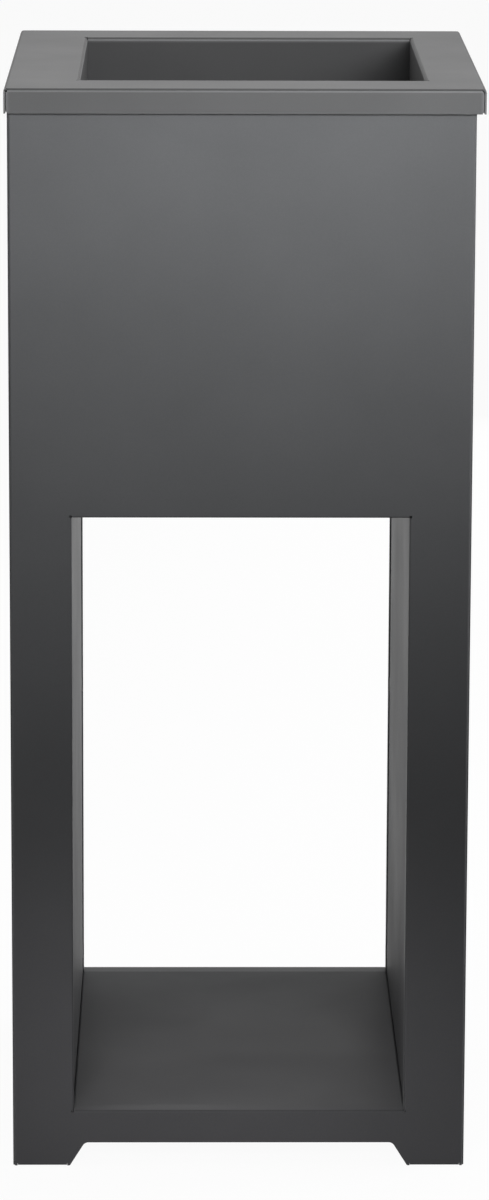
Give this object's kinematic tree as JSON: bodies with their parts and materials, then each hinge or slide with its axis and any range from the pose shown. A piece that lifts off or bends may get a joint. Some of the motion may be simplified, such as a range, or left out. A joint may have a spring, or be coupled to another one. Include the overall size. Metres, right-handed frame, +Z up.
{
  "type": "brazier with log store",
  "caption": "Tall square sheet-steel brazier: lift-out fire tub and grate under a lift-off rim, open log store below, on sloping feet.",
  "frame": {"origin": "on the ground, in the middle of the casing's square footprint", "axes": "+Z up; the front face with its window looks along -Y; +X is to the right seen from the front"},
  "size_m": [0.4, 0.4, 0.94],
  "materials": {
    "casing_paint": "anthracite heat-resistant powder coat, satin, very fine texture",
    "store_paint": "the same anthracite powder coat",
    "rim_paint": "the same anthracite powder coat",
    "tub_paint": "the same coat in the fire tub, a little more matt",
    "grate_steel": "black hot-rolled steel bars",
    "screw_black": "black countersunk screws with a hexagon socket",
    "zinc": "bright zinc plated steel"
  },
  "bodies": {
    "column": {"front_panel": "casing_paint", "back_panel": "casing_paint", "left_side_panel": "casing_paint", "right_side_panel": "casing_paint", "left_store_wall": "casing_paint", "right_store_wall": "casing_paint", "log_shelf": "store_paint", "store_ceiling": "store_paint", "left_panel_screws": "screw_black", "right_panel_screws": "screw_black", "front_weld_nuts": "zinc", "back_weld_nuts": "zinc", "shelf_rivets": "zinc", "ceiling_rivets": "zinc"},
    "fire_tub": {"tub_walls": "tub_paint", "tub_floor": "tub_paint"},
    "grate": {"grate_bearers": "grate_steel", "grate_bars": "grate_steel"},
    "rim": {"rim_frame": "rim_paint"}
  },
  "joints": [
    {"name": "tub_lift", "type": "slide", "parent": "column", "child": "fire_tub", "axis": [0, 0, 1], "range_m": [0, 0.26]},
    {"name": "rim_lift", "type": "slide", "parent": "fire_tub", "child": "rim", "axis": [0, 0, 1], "range_m": [0, 0.15]},
    {"name": "grate_lift", "type": "slide", "parent": "fire_tub", "child": "grate", "axis": [0, 0, 1], "range_m": [0, 0.26]}
  ]
}
